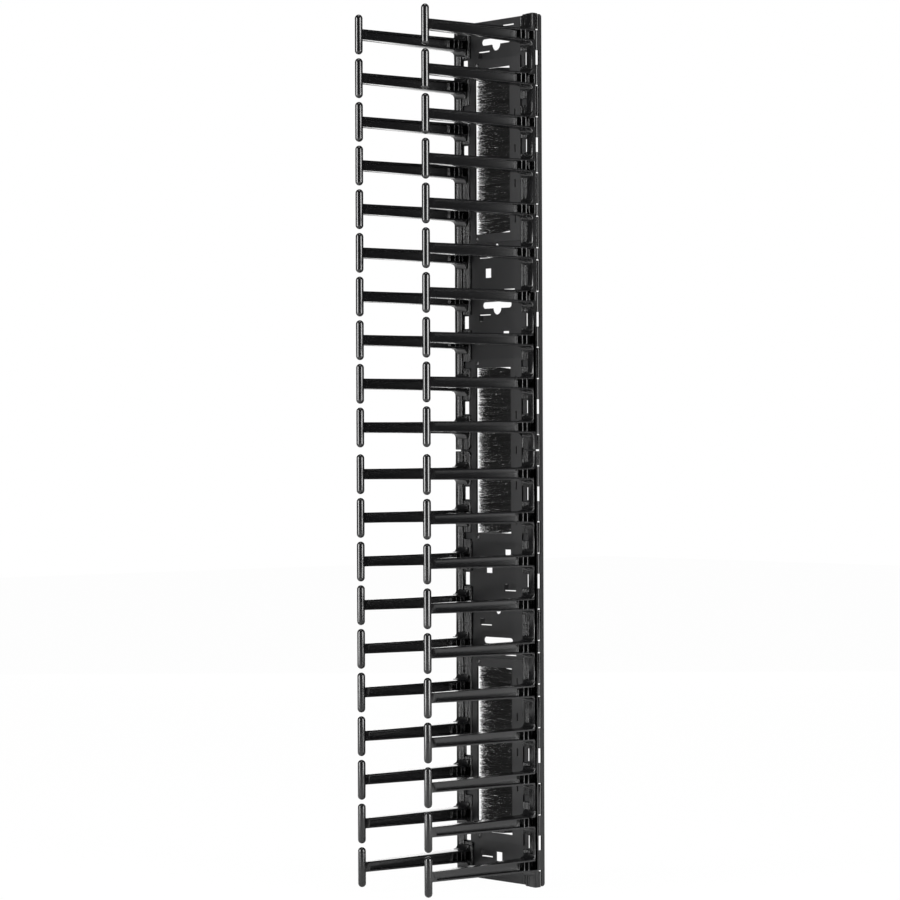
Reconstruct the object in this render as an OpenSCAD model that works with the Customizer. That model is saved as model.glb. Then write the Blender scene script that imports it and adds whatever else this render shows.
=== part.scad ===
// Vertical cable manager for an equipment rack.
// A folded steel back panel carries four snap-on finger combs and three brush pass-throughs.
// X runs across the panel, the fingers point along -Y, Z runs up the rack.
// The origin is in the middle of the plane on which the folded sides rest against the rack.

/* [Panel] */
// Width of the panel over its folded sides
panel_w = 120; // [112:1:140]
// Height of one rack unit
rack_unit = 44.45; // [44.2:0.05:44.7]
// Height of the panel in rack units
units_high = 20; // [20:2:26]
// Thickness of the steel sheet
sheet_t = 1.5; // [1:0.1:2]
// Depth of the folded sides, measured from the front face
side_d = 8.2; // [6.5:0.1:12]
// Outside radius of the folds
fold_r = 2.0; // [2:0.1:3]
// Corner radius at the ends of the folded sides
side_corner_r = 3; // [1:0.5:4]

/* [Edge slots] */
// Height of the long slots that take the comb tabs
tab_slot_h = 33; // [28:0.5:36]
// Height of the short slots behind the comb snaps
snap_slot_h = 14.8; // [13.6:0.1:18]
// How far the edge slots run in from the side, across the front face
edge_slot_x = 3.3; // [2.8:0.1:4]
// How far the edge slots run back down the side
edge_slot_y = 4.1; // [3.5:0.1:5]
// Height of the windows that the snaps go through
snap_window_h = 13; // [12:0.1:13.4]
// How far the snap windows run in from the side
snap_window_x = 16.4; // [12:0.1:18]

/* [Mounting holes] */
// Length of the keyhole slots
keyhole_w = 44.5; // [36:0.5:50]
// Height of the keyhole slots
keyhole_h = 6.6; // [5:0.1:8]
// Diameter of the keyhole entries
keyhole_d = 13.2; // [11:0.1:15]
// Side of the square holes
square_hole = 9.5; // [9:0.1:10]
// Distance of the square holes in the bays from the middle line
square_hole_x = 13.5; // [12:0.5:16]
// Diameter of the round hole
round_hole_d = 8.5; // [6:0.5:10]
// Distance of the end keyhole and end square hole from the panel ends
end_hole_z = 25; // [24:0.5:27]
// Width of the orientation mark
mark_w = 8.6; // [6:0.1:10]

/* [Tie bridges] */
// Width of a tie bridge with its two ramps
bridge_w = 17.5; // [14:0.5:20]
// Height of the slot that a tie bridge is cut from
bridge_slot_h = 7; // [6:0.1:8]
// Gap above or below a tie bridge
bridge_gap = 0.8; // [0.5:0.1:1.2]
// How far a tie bridge is pushed back
bridge_depth = 4.6; // [3:0.1:5.5]
// Length of a tie bridge's ramp
bridge_ramp = 3.2; // [2.5:0.1:4]
// Distance of the tie bridges from the middle line
bridge_x = 18.5; // [17:0.5:20]

/* [Finger combs] */
// Gap between the upper and the lower comb
seam_gap = 1.6; // [0.6:0.1:3]
// Distance between neighbouring fingers
finger_pitch = 44.3; // [44:0.05:44.4]
// Width of the comb's base strip
base_w = 21; // [19.5:0.1:22]
// Thickness of the comb's base strip
base_t = 2.1; // [1.8:0.1:2.6]
// Corner radius of the base strip
base_corner_r = 6; // [3:0.5:8]
// Height of the window edge above the panel
edge_h = 4.6; // [4:0.1:6]
// Width of the window edge between the fingers
edge_w = 9.7; // [9:0.1:11]
// Width of the raised bead along the window edge
bead_w = 4.1; // [3:0.1:5]
// How much lower the window edge is beside its bead
bead_drop = 0.6; // [0.3:0.1:0.9]
// Reach from the panel to the middle of the finger heads
finger_reach = 141.5; // [110:0.5:160]
// Width of a finger at its root
root_w = 17.5; // [16:0.1:19]
// Width of a finger at its head
tip_w = 7.2; // [6:0.1:8]
// Height of a finger at its root
root_h = 12.6; // [12:0.1:15]
// Height of a finger at its head
tip_h = 9.8; // [8:0.1:11]
// Radius of the window corners at the finger roots
window_r = 5; // [3:0.5:7]
// Thickness of a finger's upper and lower flange
flange_t = 2; // [1.5:0.1:2.4]
// Thickness of the plate between a finger's flanges
plate_t = 2.4; // [1.8:0.1:3]
// Diameter of the finger heads
head_d = 8; // [7:0.1:10]
// Length of the finger heads
head_l = 40.7; // [34:0.1:42]

/* [Comb snaps and tabs] */
// Clearance of a comb tab in its slot, at each end
tab_gap = 1.0; // [0.5:0.1:1.5]
// Clearance of the tabs and snaps from the sheet
fit_gap = 0.3; // [0.15:0.05:0.4]
// Thickness of a snap
snap_t = 1.8; // [1.4:0.1:2.2]
// Slit between the two legs of a snap
snap_slit = 2.4; // [1.8:0.1:3]
// Overhang of a snap's barbs behind the sheet
barb = 0.9; // [0.5:0.1:1.2]
// Height of a snap's barbs
barb_h = 2.0; // [1.5:0.1:2.2]
// Height of the notches in the base strip beside the snaps
snap_notch_h = 16; // [14:0.5:18]
// Height of the small locating notches in the base strip
small_notch_h = 7; // [5:0.5:9]

/* [Brush frames] */
// Width of a brush frame
frame_w = 76.8; // [74:0.1:77.6]
// Height of a brush frame
frame_h = 189.2; // [184:0.1:192]
// Thickness of a brush frame
frame_t = 1.5; // [1:0.1:2]
// Distance of the outer brush frames from the panel ends
frame_end_gap = 40.2; // [38:0.2:42]
// Width of the opening in a brush frame
opening_w = 53; // [48:0.5:54]
// Height of the opening in a brush frame
opening_h = 171; // [160:0.5:172]
// Width of the frame's narrow band, beside the brush tips
narrow_band = 7.4; // [6.6:0.1:8]
// Play of the panel's cut-out around the frame's opening
cutout_play = 1; // [0.5:0.1:1.5]
// Number of slots that hold the brush channel's tabs
channel_tabs = 5; // [3:1:6]
// Height of the slots for the brush channel's tabs
channel_slot_h = 8.2; // [6:0.1:10]
// Distance between the slots for the brush channel's tabs
channel_slot_pitch = 36.1; // [25:0.1:31]
// Diameter of the frame rivets' shanks
rivet_d = 3.2; // [2.4:0.1:4]
// Diameter of the frame rivets' heads
rivet_head_d = 5.8; // [5:0.1:7]

/* [Strip brushes] */
// Width of the brush channel, from its mouth to its back
channel_w = 6; // [5:0.1:7]
// Thickness of the brush channel from front to back
channel_d = 5; // [4.4:0.1:5.5]
// Wall of the brush channel
channel_wall = 0.8; // [0.6:0.1:1]
// Diameter of the core wire
core_d = 1.6; // [1.2:0.1:2]
// Play between the brush channel and the ends of the opening
channel_end_gap = 2.5; // [1:0.5:5]
// Gap between the brush tips and the narrow band
tip_gap = 0.6; // [0.3:0.1:2]
// Width of one tuft at the brush tips
tuft_w = 5; // [3:0.5:8]
// Depth of the notches between the tufts
tuft_notch = 7; // [3:0.5:15]

/* [Hidden] */

$fn = 48;
eps = 0.01;
over = 1;                                   // how far a cutting shape runs past what it cuts

panel_h = units_high * rack_unit;
side_x = panel_w / 2;

// Combs: each covers half of the panel's rack units
fingers = units_high / 2;
comb_l = fingers * rack_unit;
comb_z = seam_gap / 2;
finger_x = side_x - root_w / 2;

// Edge positions, counted in rack units from the middle of the panel
edge_places = [for (k = [-fingers : fingers]) k];
comb_middle = units_high / 4;
function is_snap(k) = abs(k) % 2 == 1 && abs(k) != comb_middle;
function is_small_notch(k) = abs(k) == 2 || abs(k) == fingers - 2;

// Snaps sit under the window edge and hook behind the sheet, above and below
snap_x = edge_slot_x + 1.4;
snap_h = snap_window_h - 2 * tab_gap - 0.6;
tab_h = tab_slot_h - 2 * tab_gap;
sheet_gap = fit_gap / 2;

// Brush frames and the bays between them
frame_z = panel_h / 2 - frame_end_gap - frame_h / 2;
frame_places = [frame_z, 0, -frame_z];
bay_z = frame_z / 2;
opening_x0 = -frame_w / 2 + narrow_band;
opening_x1 = opening_x0 + opening_w;
channel_x = opening_x1 + 3.4;               // mouth of the brush channel, behind the wide band
channel_h = opening_h - 2 * channel_end_gap;
slot_x = channel_x + channel_w - channel_wall;
frame_hook_x = channel_x + channel_w + 1.3;
cutout_x1 = frame_hook_x + sheet_t + fit_gap;
rivet_x = opening_x0 + 2.4;
rivet_z = (opening_h / 2 + frame_h / 2) / 2;

// Mounting holes and tie bridges as [x, z]; in the bays z is counted from the bay's middle
upper_bay_squares = [[-square_hole_x, 28.6], [square_hole_x, -36.9]];
lower_bay_squares = [[square_hole_x + 1.5, 47.9], [-square_hole_x, 32.7]];
upper_keyhole_dz = -8;
lower_keyhole_dz = -45;
round_hole_dz = -10;
mark_dz = 55.4;
// [side, z, side of the slot that is left open]
upper_bay_bridges = [[-1, 47.8, -1], [1, 7.7, 1], [-1, -17.5, 1]];
lower_bay_bridges = [[1, 13.5, -1], [-1, -23, -1], [1, -53, -1]];
top_bridges = [[1, 9.8, 1], [-1, 34.3, 1]];
bottom_bridges = [[-1, 26.5, -1]];

// ---------- shared shapes ----------

// Shapes are drawn with the panel's front face at y = 0 and moved in front of the mounting plane
module at_front() {
    translate([0, -side_d, 0]) children();
}

// Cuts through the panel's front face, from a flat outline in X and Z
module through_face(depth = 20) {
    translate([0, depth / 2, 0]) rotate([90, 0, 0]) linear_extrude(depth) children();
}

// Turns an outline of forward distance and height into a solid across X, its right face at x
module across(x, width) {
    translate([x, 0, 0]) rotate([90, 0, -90]) linear_extrude(width) children();
}

// What a corner loses when it is rounded; the corner is at the origin, inside is +x +y
module corner_cut(r) {
    difference() {
        translate([-over, -over]) square(r + over);
        translate([r, r]) circle(r);
    }
}

// ---------- back panel ----------

module channel_outline() {
    difference() {
        translate([-side_x, 0]) square([panel_w, side_d]);
        for (s = [0, 1]) mirror([s, 0]) translate([-side_x, 0]) corner_cut(fold_r);
        difference() {
            translate([-side_x + sheet_t, sheet_t]) square([panel_w - 2 * sheet_t, side_d]);
            for (s = [0, 1]) mirror([s, 0]) translate([-side_x + sheet_t, sheet_t])
                difference() {
                    square(fold_r - sheet_t + eps);
                    translate([fold_r - sheet_t, fold_r - sheet_t]) circle(fold_r - sheet_t + eps);
                }
        }
    }
}

module edge_slots() {
    for (s = [0, 1]) mirror([s, 0, 0]) for (k = edge_places) {
        h = is_snap(k) ? snap_slot_h : tab_slot_h;
        translate([side_x - edge_slot_x, -over, k * rack_unit - h / 2])
            cube([edge_slot_x + over, edge_slot_y + over, h]);
        if (is_snap(k)) translate([side_x - snap_window_x, -over, k * rack_unit - snap_window_h / 2])
            cube([snap_window_x - edge_slot_x + eps, sheet_t + 2 * over, snap_window_h]);
    }
}

module keyhole_outline() {
    circle(d = keyhole_d);
    translate([0, keyhole_d / 2 - keyhole_h / 2]) {
        square([keyhole_w - keyhole_h, keyhole_h], center = true);
        for (s = [-1, 1]) translate([s * (keyhole_w - keyhole_h) / 2, 0]) circle(d = keyhole_h);
    }
}

module mounting_holes() {
    through_face() {
        for (z = [panel_h / 2 - end_hole_z, bay_z + upper_keyhole_dz, -bay_z + lower_keyhole_dz])
            translate([0, z]) keyhole_outline();
        for (p = upper_bay_squares) translate([p[0], bay_z + p[1]]) square(square_hole, center = true);
        for (p = lower_bay_squares) translate([p[0], -bay_z + p[1]]) square(square_hole, center = true);
        translate([0, -panel_h / 2 + end_hole_z]) square(square_hole, center = true);
        translate([0, bay_z + mark_dz]) polygon([[-mark_w / 2, 0], [mark_w / 2, 0], [0, mark_w / 2]]);
    }
    translate([0, 0, -bay_z + round_hole_dz]) rotate([90, 0, 0]) cylinder(d = round_hole_d, h = 20, center = true);
}

function bridge_places() = concat(
    [for (b = top_bridges) [b[0] * bridge_x, panel_h / 2 - b[1], b[2]]],
    [for (b = upper_bay_bridges) [b[0] * bridge_x, bay_z + b[1], b[2]]],
    [for (b = lower_bay_bridges) [b[0] * bridge_x, -bay_z + b[1], b[2]]],
    [for (b = bottom_bridges) [b[0] * bridge_x, -panel_h / 2 + b[1], b[2]]]
);

module bridge_slots() {
    for (b = bridge_places()) translate([b[0] - bridge_w / 2, -over, b[1] - bridge_slot_h / 2])
        cube([bridge_w, sheet_t + 2 * over, bridge_slot_h]);
}

// The strip of sheet left between two cuts and pushed back, so that a cable tie passes behind it
module bridges() {
    flat = bridge_w / 2 - bridge_ramp;
    strip = bridge_slot_h - bridge_gap - 0.2;
    for (b = bridge_places()) {
        z0 = b[1] - b[2] * (bridge_slot_h / 2 - 0.2) - (b[2] > 0 ? 0 : strip);
        translate([b[0], 0, z0]) linear_extrude(strip) polygon([
            [-bridge_w / 2 - eps, 0], [-flat, bridge_depth - sheet_t], [flat, bridge_depth - sheet_t],
            [bridge_w / 2 + eps, 0], [bridge_w / 2 + eps, sheet_t], [flat + 0.5, bridge_depth],
            [-flat - 0.5, bridge_depth], [-bridge_w / 2 - eps, sheet_t]
        ]);
    }
}

module brush_cutouts() {
    for (z = frame_places) {
        translate([opening_x0 - cutout_play, -over, z - opening_h / 2 - cutout_play])
            cube([cutout_x1 - opening_x0 + cutout_play, sheet_t + 2 * over, opening_h + 2 * cutout_play]);
        for (s = [-1, 1]) translate([rivet_x, 0, z + s * rivet_z])
            rotate([90, 0, 0]) cylinder(d = rivet_d, h = 20, center = true);
    }
}

module side_corners() {
    for (s = [0, 1]) mirror([0, 0, s]) translate([side_x + over, 0, 0])
        rotate([90, 0, -90]) linear_extrude(panel_w + 2 * over)
            translate([-side_d, panel_h / 2]) mirror([0, 1]) corner_cut(side_corner_r);
}

module back_panel() {
    color([0.13, 0.13, 0.14]) at_front() {
        difference() {
            translate([0, 0, -panel_h / 2]) linear_extrude(panel_h) channel_outline();
            edge_slots();
            mounting_holes();
            bridge_slots();
            brush_cutouts();
            side_corners();
        }
        bridges();
    }
}

// ---------- finger combs ----------
// Drawn for the upper right corner; the others are mirrored

function finger_z(i) = comb_z + comb_l / 2 + (i - (fingers - 1) / 2) * finger_pitch;
function half_h(y) = root_h / 2 + (tip_h - root_h) / 2 * (y - edge_h) / (finger_reach - edge_h);

// Side view of one finger with the round corners of the windows beside it
module finger_outline() {
    polygon([
        [0, -half_h(0)], [finger_reach, -half_h(finger_reach)],
        [finger_reach, half_h(finger_reach)], [0, half_h(0)]
    ]);
    for (s = [0, 1]) mirror([0, s]) difference() {
        translate([0, half_h(edge_h) - 0.2]) square([edge_h + window_r, window_r + 0.2]);
        translate([edge_h + window_r, half_h(edge_h) + window_r]) circle(window_r);
        translate([edge_h - bead_drop, half_h(edge_h) + window_r]) square(window_r);
    }
}

// Hollows between the flanges, with two cross ribs near the root
rib_1 = edge_h + 8;
rib_2 = edge_h + 13.8;
rib_t = 1.2;
hollow_places = [
    [base_t, rib_1],
    [rib_1 + rib_t, rib_2],
    [rib_2 + rib_t, finger_reach - head_d]
];

module hollow_outline() {
    for (h = hollow_places) polygon([
        [h[0], -half_h(h[0]) + flange_t], [h[1], -half_h(h[1]) + flange_t],
        [h[1], half_h(h[1]) - flange_t], [h[0], half_h(h[0]) - flange_t]
    ]);
}

module all_fingers() {
    for (i = [0 : fingers - 1]) translate([0, finger_z(i)]) children();
}

// Plan view of the fingers, straight across the base and tapering to the head
module finger_plan() {
    polygon([
        [side_x - root_w, 0], [side_x - root_w, -edge_h],
        [finger_x - tip_w / 2, -finger_reach], [finger_x + tip_w / 2, -finger_reach],
        [side_x, -edge_h], [side_x, 0]
    ]);
}

module finger_arms() {
    intersection() {
        across(side_x, root_w) all_fingers() finger_outline();
        translate([0, 0, comb_z]) linear_extrude(comb_l) finger_plan();
    }
}

module finger_hollows() {
    across(side_x + over, root_w / 2 - plate_t / 2 + over) all_fingers() hollow_outline();
    across(finger_x - plate_t / 2, root_w / 2 - plate_t / 2 + over) all_fingers() hollow_outline();
    // small window through the plate, between the cross ribs
    across(side_x + over, root_w + 2 * over) all_fingers()
        translate([rib_1 + rib_t, -2.8]) square([rib_2 - rib_1 - rib_t, 5.6]);
}

module finger_head() {
    straight = head_l - head_d;
    cylinder(d = head_d, h = straight, center = true);
    for (s = [-1, 1]) translate([0, 0, s * straight / 2]) sphere(d = head_d);
}

// Cross-section of the base strip with its window edge, bead and three low ridges
module base_section() {
    x0 = side_x - base_w;
    translate([x0, -base_t]) square([base_w, base_t]);
    translate([side_x - edge_w, -edge_h + bead_drop]) square([edge_w, edge_h - bead_drop]);
    translate([side_x - bead_w, -edge_h]) square([bead_w, edge_h]);
    for (x = [x0 + 0.7, x0 + 4.6, x0 + 8.6]) translate([x, -base_t - ridge_h]) square([ridge_w, ridge_h + eps]);
}
ridge_h = 0.9;
ridge_w = 1.8;

module base_outline() {
    difference() {
        translate([side_x - base_w, comb_z]) square([base_w, comb_l]);
        translate([side_x - base_w, comb_z]) corner_cut(base_corner_r);
        translate([side_x - base_w, comb_z + comb_l]) mirror([0, 1]) corner_cut(base_corner_r);
        for (k = [1 : fingers - 1]) {
            if (is_snap(k)) translate([side_x - base_w - over, k * rack_unit - snap_notch_h / 2])
                square([base_w - edge_w + over, snap_notch_h]);
            if (is_small_notch(k)) translate([side_x - base_w - over, k * rack_unit - small_notch_h / 2])
                square([base_w - edge_w + over - 0.3, small_notch_h]);
        }
    }
}

module base_strip() {
    intersection() {
        translate([0, 0, comb_z]) linear_extrude(comb_l) base_section();
        rotate([90, 0, 0]) linear_extrude(edge_h + over) base_outline();
    }
}

// Tabs that fill the long edge slots; the end ones are half tabs
module tabs() {
    for (k = [0 : fingers]) if (!is_snap(k)) {
        low = max(k * rack_unit - tab_h / 2, comb_z);
        high = min(k * rack_unit + tab_h / 2, comb_z + comb_l);
        translate([side_x - edge_slot_x + fit_gap, -eps, low])
            cube([edge_slot_x - 2 * fit_gap, edge_slot_y - tab_gap + eps, high - low]);
    }
}

// Split snaps: two legs that spring together, with barbs above and below
module snaps() {
    reach = sheet_t + sheet_gap + barb_h;
    for (k = [1 : fingers - 1]) if (is_snap(k)) translate([side_x - snap_x - snap_t, 0, k * rack_unit]) {
        for (s = [0, 1]) mirror([0, 0, s]) linear_extrude_x(snap_t) polygon([
            [-eps, snap_slit / 2], [reach, snap_slit / 2], [reach, snap_h / 2 - 0.6],
            [sheet_t + sheet_gap, snap_window_h / 2 + barb], [sheet_t + sheet_gap, snap_h / 2],
            [-eps, snap_h / 2]
        ]);
    }
}

// Outline of depth behind the front face and height, made into a solid along +X
module linear_extrude_x(w) {
    rotate([90, 0, 90]) linear_extrude(w) children();
}

module comb() {
    color([0.03, 0.03, 0.03]) at_front() {
        difference() {
            union() {
                base_strip();
                finger_arms();
                for (i = [0 : fingers - 1]) translate([finger_x, -finger_reach, finger_z(i)]) finger_head();
            }
            finger_hollows();
        }
        tabs();
        snaps();
    }
}

// ---------- brush frames ----------

module slot_places() {
    for (i = [0 : channel_tabs - 1])
        translate([slot_x, 0, (i - (channel_tabs - 1) / 2) * channel_slot_pitch]) children();
}

module frame_outline() {
    difference() {
        square([frame_w, frame_h], center = true);
        translate([opening_x0, -opening_h / 2]) square([opening_w, opening_h]);
    }
}

// Tongues that hook the wide band behind the panel
module frame_hooks() {
    for (s = [-1, 1]) translate([frame_hook_x, 0, s * frame_h / 3 - 8]) {
        translate([0, -eps, 0]) cube([sheet_t, 2 * sheet_t + sheet_gap + eps, 16]);
        translate([0, sheet_t + sheet_gap, 0]) cube([sheet_t + 3.5, sheet_t, 16]);
    }
}

module brush_frame(z) {
    color([0.16, 0.16, 0.17]) at_front() translate([0, 0, z]) {
        difference() {
            rotate([90, 0, 0]) linear_extrude(frame_t) frame_outline();
            slot_places() translate([-channel_wall / 2 - 0.8, -frame_t - over, -channel_slot_h / 2])
                cube([channel_wall + 1.6, frame_t + 2 * over, channel_slot_h]);
            for (s = [-1, 1]) translate([rivet_x, 0, s * rivet_z])
                rotate([90, 0, 0]) cylinder(d = rivet_d, h = 20, center = true);
        }
        frame_hooks();
    }
}

module frame_rivets(z) {
    shank = frame_t + sheet_t;
    color([0.1, 0.1, 0.1]) at_front() for (s = [-1, 1])
        translate([rivet_x, -frame_t, z + s * rivet_z]) rotate([90, 0, 0]) {
            translate([0, 0, -shank - eps]) cylinder(d = rivet_d - 0.1, h = shank + 2 * eps);
            intersection() {
                translate([0, 0, 1.1 - rivet_head_d]) sphere(r = rivet_head_d);
                cylinder(d = rivet_head_d, h = 2);
            }
            translate([0, 0, -shank - 1.2]) cylinder(d = rivet_head_d - 1, h = 1.2);
        }
}

// ---------- strip brushes ----------

module brush_channel(z) {
    color([0.55, 0.56, 0.58]) at_front() translate([channel_x, 0, z]) {
        translate([0, 0, -channel_h / 2]) linear_extrude(channel_h) difference() {
            square([channel_w, channel_d]);
            translate([-over, channel_wall]) square([channel_w - channel_wall + over, channel_d - 2 * channel_wall]);
        }
        translate([-channel_x, 0, 0]) slot_places()
            translate([-channel_wall / 2, -frame_t / 2, -channel_slot_h / 2 + 0.3])
                cube([channel_wall, frame_t / 2 + eps, channel_slot_h - 0.6]);
    }
}

core_x = channel_x + channel_w - channel_wall - 1 - core_d / 2;
brush_t = channel_d - 2 * channel_wall - 0.2;

module core_wire(z) {
    color([0.6, 0.6, 0.62]) at_front() translate([core_x, channel_d / 2, z - channel_h / 2]) cylinder(d = core_d, h = channel_h);
}

// Outline of the bristles: folded round the wire, spreading a little, notched into tufts at the tips
module bristle_outline() {
    tip_x = opening_x0 + tip_gap;
    tip_h2 = opening_h / 2 - 0.6;
    root_h2 = channel_h / 2;
    tufts = floor(2 * tip_h2 / tuft_w);
    pitch = 2 * tip_h2 / tufts;
    tip_points = [for (i = [0 : tufts - 1]) each [
        [tip_x + tuft_notch, tip_h2 - i * pitch],
        [tip_x, tip_h2 - (i + 0.35) * pitch],
        [tip_x, tip_h2 - (i + 0.65) * pitch]
    ]];
    polygon(concat(
        [[core_x, root_h2], [channel_x - 2, root_h2]], tip_points,
        [[tip_x + tuft_notch, -tip_h2], [channel_x - 2, -root_h2], [core_x, -root_h2]]
    ));
}

module bristles(z) {
    color([0.05, 0.05, 0.05]) at_front() translate([0, channel_d / 2, z]) difference() {
        union() {
            translate([0, brush_t / 2, 0]) rotate([90, 0, 0]) linear_extrude(brush_t) bristle_outline();
            translate([core_x, 0, -channel_h / 2]) cylinder(d = brush_t, h = channel_h);
        }
        translate([core_x, 0, -channel_h / 2 - over]) cylinder(d = core_d, h = channel_h + 2 * over);
    }
}

// ---------- nodes ----------

module comb_upper_left() {
    mirror([1, 0, 0]) comb();
}

module comb_upper_right() {
    comb();
}

module comb_lower_left() {
    mirror([1, 0, 0]) mirror([0, 0, 1]) comb();
}

module comb_lower_right() {
    mirror([0, 0, 1]) comb();
}

module brush_frame_upper() {
    brush_frame(frame_places[0]);
}

module brush_frame_middle() {
    brush_frame(frame_places[1]);
}

module brush_frame_lower() {
    brush_frame(frame_places[2]);
}

module frame_rivets_upper() {
    frame_rivets(frame_places[0]);
}

module frame_rivets_middle() {
    frame_rivets(frame_places[1]);
}

module frame_rivets_lower() {
    frame_rivets(frame_places[2]);
}

module brush_channel_upper() {
    brush_channel(frame_places[0]);
}

module brush_channel_middle() {
    brush_channel(frame_places[1]);
}

module brush_channel_lower() {
    brush_channel(frame_places[2]);
}

module core_wire_upper() {
    core_wire(frame_places[0]);
}

module core_wire_middle() {
    core_wire(frame_places[1]);
}

module core_wire_lower() {
    core_wire(frame_places[2]);
}

module bristles_upper() {
    bristles(frame_places[0]);
}

module bristles_middle() {
    bristles(frame_places[1]);
}

module bristles_lower() {
    bristles(frame_places[2]);
}

back_panel();
comb_upper_left();
comb_upper_right();
comb_lower_left();
comb_lower_right();
brush_frame_upper();
brush_frame_middle();
brush_frame_lower();
frame_rivets_upper();
frame_rivets_middle();
frame_rivets_lower();
brush_channel_upper();
brush_channel_middle();
brush_channel_lower();
core_wire_upper();
core_wire_middle();
core_wire_lower();
bristles_upper();
bristles_middle();
bristles_lower();
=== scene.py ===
import math
import random

import bpy
from mathutils import Matrix, Vector


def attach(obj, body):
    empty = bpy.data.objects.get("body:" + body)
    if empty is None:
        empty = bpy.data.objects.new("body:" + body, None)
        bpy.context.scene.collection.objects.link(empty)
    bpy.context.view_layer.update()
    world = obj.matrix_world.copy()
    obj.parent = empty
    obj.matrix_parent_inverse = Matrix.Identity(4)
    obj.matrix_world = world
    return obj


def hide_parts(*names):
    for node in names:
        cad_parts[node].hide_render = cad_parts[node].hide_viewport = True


mm = 0.001
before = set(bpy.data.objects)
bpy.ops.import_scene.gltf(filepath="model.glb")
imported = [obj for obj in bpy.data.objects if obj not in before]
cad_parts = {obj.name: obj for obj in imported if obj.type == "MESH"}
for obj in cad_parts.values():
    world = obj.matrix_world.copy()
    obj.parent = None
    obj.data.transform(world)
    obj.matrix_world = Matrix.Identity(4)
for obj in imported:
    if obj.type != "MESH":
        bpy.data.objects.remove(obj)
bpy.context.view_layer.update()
print("frame loaded")


# ---- shader helpers ----

class Signal:
    # a node's output that can be added and multiplied
    def __init__(self, shader, socket):
        self.shader = shader
        self.socket = socket

    def combine(self, operation, first, second):
        made = self.shader.node("ShaderNodeMath", {"operation": operation}, {0: first, 1: second})
        return Signal(self.shader, made.outputs[0])

    def __add__(self, other):
        return self.combine("ADD", self, other)

    def __radd__(self, other):
        return self.combine("ADD", other, self)

    def __mul__(self, other):
        return self.combine("MULTIPLY", self, other)

    def __rmul__(self, other):
        return self.combine("MULTIPLY", other, self)


class Shader:
    def __init__(self, name):
        self.material = bpy.data.materials.new(name)
        self.material.use_nodes = True
        self.tree = self.material.node_tree
        self.tree.nodes.clear()
        self.output = self.node("ShaderNodeOutputMaterial", {}, {})
        self.place = self.node("ShaderNodeTexCoord", {}, {})

    def node(self, kind, settings, values):
        made = self.tree.nodes.new(kind)
        for key, value in settings.items():
            setattr(made, key, value)
        for key, value in values.items():
            if isinstance(value, Signal):
                self.tree.links.new(value.socket, made.inputs[key])
            else:
                made.inputs[key].default_value = value
        return made

    def noise(self, scale, detail, stretch=(1, 1, 1)):
        place = Signal(self, self.place.outputs["Object"])
        moved = self.node("ShaderNodeMapping", {}, {"Vector": place, "Scale": stretch})
        made = self.node(
            "ShaderNodeTexNoise", {},
            {"Vector": Signal(self, moved.outputs[0]), "Scale": scale, "Detail": detail, "Roughness": 0.5},
        )
        return Signal(self, made.outputs["Fac"])

    def blend(self, factor, first, second):
        made = self.node(
            "ShaderNodeMix", {"data_type": "RGBA"},
            {"Factor": factor, "A": (*first, 1), "B": (*second, 1)},
        )
        return Signal(self, made.outputs["Result"])

    def bump(self, height, distance, strength):
        made = self.node(
            "ShaderNodeBump", {},
            {"Height": height, "Distance": distance, "Strength": strength},
        )
        return Signal(self, made.outputs[0])

    def finish(self, values):
        made = self.node("ShaderNodeBsdfPrincipled", {}, values)
        self.tree.links.new(made.outputs[0], self.output.inputs["Surface"])
        return self.material


def powderCoat(name, dark, light, sheen):
    look = Shader(name)
    grain = look.noise(1800, 4)
    cloud = look.noise(9, 2)
    return look.finish({
        "Base Color": look.blend(cloud, dark, light),
        "Roughness": sheen + 0.10 * grain,
        "Specular IOR Level": 0.3,
        "Normal": look.bump(grain, 0.03 * mm, 0.4),
    })


def mouldedPlastic():
    look = Shader("mouldedPlastic")
    grain = look.noise(2600, 3)
    flow = look.noise(14, 2, (1, 1, 3))
    return look.finish({
        "Base Color": look.blend(flow, (0.0025, 0.0025, 0.0027), (0.004, 0.004, 0.0043)),
        "Roughness": 0.16 + 0.08 * grain,
        "Normal": look.bump(grain, 0.02 * mm, 0.3),
    })


# painted shade: this steel is coloured near black to stand for the shade inside the frame slots, where the
# channel's tab shows
def shadeDarkenedSteel():
    look = Shader("slotShadeSteel")
    brushed = look.noise(900, 3, (1, 1, 0.05))
    return look.finish({
        "Base Color": look.blend(brushed, (0.012, 0.012, 0.0122), (0.02, 0.02, 0.0205)),
        "Metallic": 0.6,
        "Roughness": 0.4 + 0.2 * brushed,
        "Normal": look.bump(brushed, 0.04 * mm, 0.4),
    })


def blackFibre():
    look = Shader("blackFibre")
    strands = look.noise(700, 2, (0.3, 1, 1))
    return look.finish({
        "Base Color": look.blend(strands, (0.002, 0.002, 0.002), (0.007, 0.007, 0.007)),
        "Roughness": 0.45 + 0.2 * strands,
        "Specular IOR Level": 0.15,
        "Normal": look.bump(strands, 0.05 * mm, 0.3),
    })


panelBlack = powderCoat("panelBlack", (0.006, 0.006, 0.0063), (0.010, 0.010, 0.0105), 0.27)
frameBlack = powderCoat("frameBlack", (0.008, 0.008, 0.0083), (0.012, 0.012, 0.0125), 0.29)
combBlack = mouldedPlastic()
brushSteelInSlotShade = shadeDarkenedSteel()
fibreBlack = blackFibre()
print("materials made")


# ---- carried-over pieces ----

# each finish goes to the nodes whose names start like this
finishes = {
    "back_panel": panelBlack,
    "comb": combBlack,
    "brush_frame": frameBlack,
    "frame_rivets": frameBlack,
    "brush_channel": brushSteelInSlotShade,
    "core_wire": brushSteelInSlotShade,
    "bristles": fibreBlack,
}
for nodeName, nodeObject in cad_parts.items():
    for start, material in finishes.items():
        if nodeName.startswith(start):
            for slotItem in nodeObject.material_slots:
                slotItem.material = material
print("CAD pieces painted")


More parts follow.
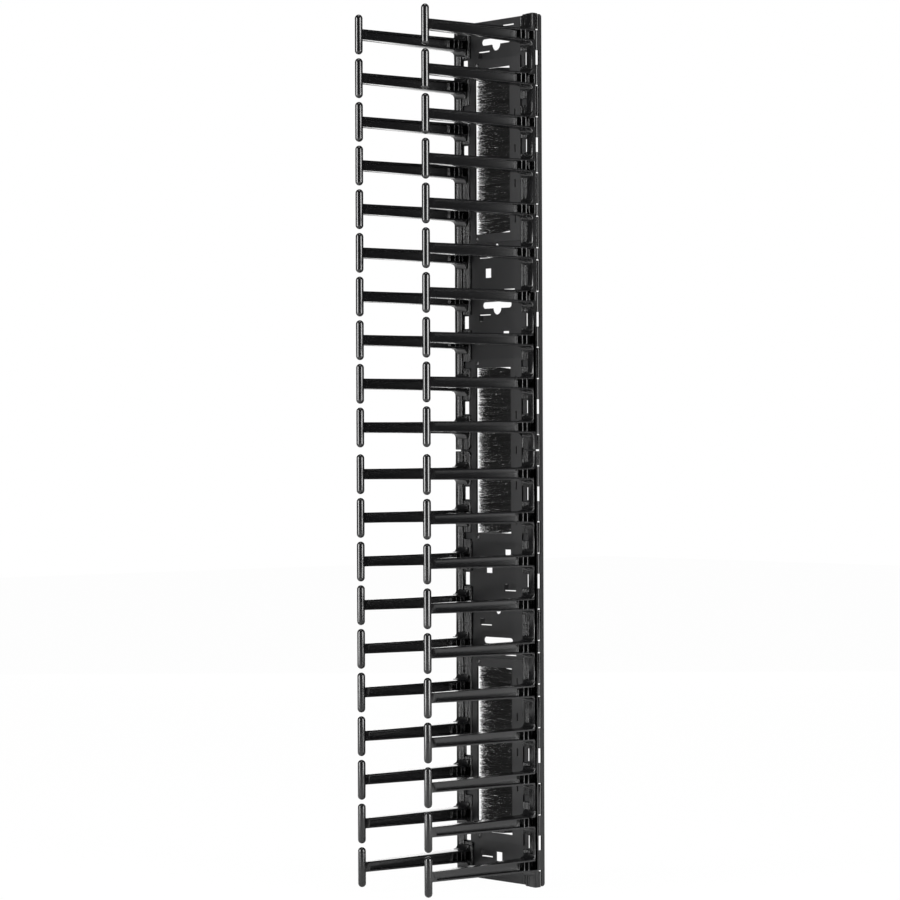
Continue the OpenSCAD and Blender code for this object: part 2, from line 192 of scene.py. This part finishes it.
def nodeCorners(node):
    corners = [node.matrix_world @ vertex.co for vertex in node.data.vertices]
    low = [min(corner[axis] for corner in corners) for axis in range(3)]
    high = [max(corner[axis] for corner in corners) for axis in range(3)]
    return low, high


def within(low, value, high):
    return max(low, min(high, value))


def linked(name, data):
    made = bpy.data.objects.new(name, data)
    bpy.context.scene.collection.objects.link(made)
    return made


# ---- finger combs ----

combEdge = {
    "mergeDistance": 0.002 * mm,
    "flatAngle": math.radians(4),
    "sharpAngle": math.radians(35),
    "radius": 0.45 * mm,
    "segments": 3,
    "smoothAngle": math.radians(40),
}


def dressComb(nodeName):
    # a moulded comb has every edge eased by the same small radius
    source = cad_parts[nodeName]
    mesh = source.data.copy()
    mesh.transform(source.matrix_world)
    piece = linked("moulded_" + nodeName, mesh)
    bpy.ops.object.select_all(action="DESELECT")
    piece.select_set(True)
    bpy.context.view_layer.objects.active = piece
    bpy.ops.object.mode_set(mode="EDIT")
    bpy.ops.mesh.select_all(action="SELECT")
    bpy.ops.mesh.remove_doubles(threshold=combEdge["mergeDistance"])
    bpy.ops.mesh.dissolve_limited(angle_limit=combEdge["flatAngle"])
    bpy.ops.object.mode_set(mode="OBJECT")
    rounding = piece.modifiers.new("edges", "BEVEL")
    rounding.width = combEdge["radius"]
    rounding.segments = combEdge["segments"]
    rounding.limit_method = "ANGLE"
    rounding.angle_limit = combEdge["sharpAngle"]
    rounding.use_clamp_overlap = False
    bpy.ops.object.modifier_apply(modifier="edges")
    # narrow snaps leave less room than the radius, so nothing may pass the comb's own box
    low, high = nodeCorners(source)
    for vertex in piece.data.vertices:
        vertex.co = [within(low[axis], vertex.co[axis], high[axis]) for axis in range(3)]
    bpy.ops.object.shade_smooth_by_angle(angle=combEdge["smoothAngle"])
    piece.data.materials.clear()
    piece.data.materials.append(combBlack)
    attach(piece, "root")
    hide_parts(nodeName)
    print("comb dressed:", nodeName, len(piece.data.polygons))


for level in ("upper", "lower"):
    for hand in ("left", "right"):
        dressComb("comb_" + level + "_" + hand)


# ---- bristles ----

bristle = {
    "strands": 4200,
    "sides": 3,
    "steps": 7,
    "radius": 0.16 * mm,
    "tipShare": 0.6,
    "rootX": 30.2 * mm,
    "tipX": -30.6 * mm,
    "rootHalfHeight": 82.4 * mm,
    "tipHalfHeight": 85.4 * mm,
    "rootHalfDepth": 1.35 * mm,
    "halfDepth": 1.4 * mm,
    "shortest": 0.74,
    "shortening": 1.9,
    "spreadShare": 0.55,
    "lean": 0.05,
    "leanDepth": 0.02,
    "wave": 0.6 * mm,
    "waves": 3.2,
    "waveStart": 3,
    "seed": 11,
}


def addStrand(points, faces, draw, centre):
    # one filament from the core wire to its tip, as a thin tapering tube
    level = draw.uniform(-1, 1)
    rootY = draw.uniform(-1, 1) * bristle["rootHalfDepth"]
    lost = (1 - bristle["shortest"]) * draw.random() ** bristle["shortening"]
    reach = (bristle["rootX"] - bristle["tipX"]) * (1 - lost)
    lean = draw.gauss(0, bristle["lean"])
    leanDepth = draw.gauss(0, bristle["leanDepth"])
    wave = draw.gauss(0, bristle["wave"])
    turn = draw.uniform(0, math.tau)
    phase = draw.uniform(0, math.tau)
    sides = bristle["sides"]
    steps = bristle["steps"]
    opened = bristle["tipHalfHeight"] - bristle["rootHalfHeight"]
    first = len(points)
    for step in range(steps + 1):
        along = step / steps
        limit = bristle["rootHalfHeight"] + min(1, along / bristle["spreadShare"]) * opened
        sway = wave * math.sin(phase + math.tau * bristle["waves"] * along)
        sway *= min(1, bristle["waveStart"] * along)
        x = bristle["rootX"] - reach * along
        y = within(-bristle["halfDepth"], rootY + leanDepth * reach * along, bristle["halfDepth"])
        z = within(-limit, level * limit + lean * reach * along + sway, limit)
        radius = bristle["radius"] * (1 - (1 - bristle["tipShare"]) * along)
        for side in range(sides):
            angle = turn + math.tau * side / sides
            points.append((
                centre[0] + x,
                centre[1] + y + radius * math.cos(angle),
                centre[2] + z + radius * math.sin(angle),
            ))
    for step in range(steps):
        for side in range(sides):
            after = (side + 1) % sides
            low = first + step * sides
            faces.append((low + sides + side, low + sides + after, low + after, low + side))
    faces.append(tuple(first + side for side in range(sides)))
    faces.append(tuple(first + steps * sides + side for side in reversed(range(sides))))


def makeBristles(place, seed):
    low, high = nodeCorners(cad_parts["bristles_" + place])
    centre = (0, (low[1] + high[1]) / 2, (low[2] + high[2]) / 2)
    draw = random.Random(seed)
    points = []
    faces = []
    for _ in range(bristle["strands"]):
        addStrand(points, faces, draw, centre)
    mesh = bpy.data.meshes.new("brush_" + place)
    mesh.from_pydata(points, [], faces)
    mesh.materials.append(fibreBlack)
    piece = linked("brush_" + place, mesh)
    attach(piece, "root")
    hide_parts("bristles_" + place)
    print("bristles made:", place)


for turn, place in enumerate(("upper", "middle", "lower")):
    makeBristles(place, bristle["seed"] + turn)


# ---- camera ----

view = {
    "azimuth": math.radians(48.5),
    "distance": 3214 * mm,
    "aside": -49 * mm,
    "front": -8.2 * mm,
    "height": 0.5 * mm,
    "sensorWidth": 36,
    "focalShare": 3112.7 / 900,
    "farthest": 50,
    "roll": math.radians(-0.228),
}


def makeCamera():
    sine = math.sin(view["azimuth"])
    cosine = math.cos(view["azimuth"])
    place = Vector((
        view["distance"] * sine + view["aside"] * cosine,
        -view["distance"] * cosine + view["aside"] * sine + view["front"],
        view["height"],
    ))
    data = bpy.data.cameras.new("camera")
    data.sensor_width = view["sensorWidth"]
    data.lens = view["sensorWidth"] * view["focalShare"]
    data.clip_end = view["farthest"]
    made = linked("camera", data)
    aim = Matrix.Rotation(view["azimuth"], 4, "Z") @ Matrix.Rotation(math.radians(90), 4, "X")
    made.matrix_world = Matrix.Translation(place) @ aim @ Matrix.Rotation(view["roll"], 4, "Z")
    bpy.context.scene.camera = made


makeCamera()
bpy.context.scene.view_settings.view_transform = "Standard"
print("camera placed")


# ---- floor and light ----

studio = {
    "floorZ": -448 * mm,
    "floorSize": 14,
    "floorColour": (0.9, 0.9, 0.9, 1),
    "floorWhite": 0.985,
    "surroundings": (0.035, 0.035, 0.035, 1),
    "white": (1, 1, 1, 1),
}


def paleMaterial():
    # the floor looks white to the camera and keeps a trace of the shadow
    look = Shader("paleFloor")
    ray = look.node("ShaderNodeLightPath", {}, {})
    diffuse = look.node("ShaderNodeBsdfDiffuse", {}, {"Color": studio["floorColour"]})
    glow = look.node("ShaderNodeEmission", {}, {"Color": studio["white"], "Strength": 1.0})
    share = Signal(look, ray.outputs["Is Camera Ray"]) * studio["floorWhite"]
    mixed = look.node("ShaderNodeMixShader", {}, {"Fac": share})
    look.tree.links.new(diffuse.outputs[0], mixed.inputs[1])
    look.tree.links.new(glow.outputs[0], mixed.inputs[2])
    look.tree.links.new(mixed.outputs[0], look.output.inputs["Surface"])
    return look.material


def makeFloor():
    bpy.ops.mesh.primitive_plane_add(size=1)
    floor = bpy.context.object
    floor.name = "floor"
    widened = Matrix.Diagonal((studio["floorSize"], studio["floorSize"], 1, 1))
    floor.data.transform(Matrix.Translation((0, 0, studio["floorZ"])) @ widened)
    floor.data.materials.append(paleMaterial())


def makeSurroundings():
    world = bpy.data.worlds.new("world")
    bpy.context.scene.world = world
    world.use_nodes = True
    tree = world.node_tree
    tree.nodes.clear()
    output = tree.nodes.new("ShaderNodeOutputWorld")
    ray = tree.nodes.new("ShaderNodeLightPath")
    seen = tree.nodes.new("ShaderNodeBackground")
    seen.inputs[0].default_value = studio["white"]
    dim = tree.nodes.new("ShaderNodeBackground")
    dim.inputs[0].default_value = studio["surroundings"]
    mixed = tree.nodes.new("ShaderNodeMixShader")
    tree.links.new(ray.outputs["Is Camera Ray"], mixed.inputs[0])
    tree.links.new(dim.outputs[0], mixed.inputs[1])
    tree.links.new(seen.outputs[0], mixed.inputs[2])
    tree.links.new(mixed.outputs[0], output.inputs[0])


def around(angle, distance, height):
    # a place around the object; the angle is counted as the camera's is
    turn = math.radians(angle)
    return (distance * math.sin(turn), -distance * math.cos(turn), height)


# name, place, width and height in metres, power in watts
softboxes = (
    ("leftSoftbox", around(-17, 2.4, 0.1), (0.9, 2.4), 130),
    ("rightSoftbox", around(96, 2.4, 0.1), (1.3, 2.4), 170),
    ("backSoftbox", around(228, 3.0, 0.2), (2.0, 3.0), 40),
    ("topSoftbox", (0.2, -0.4, 2.4), (1.2, 1.2), 26),
)


def areaLight(name, place, size, power):
    data = bpy.data.lights.new(name, "AREA")
    data.shape = "RECTANGLE"
    data.size, data.size_y = size
    data.energy = power
    made = linked(name, data)
    made.location = place
    made.rotation_euler = (-Vector(place)).to_track_quat("-Z", "Y").to_euler()


makeFloor()
makeSurroundings()
for softbox in softboxes:
    areaLight(*softbox)
print("studio lit")
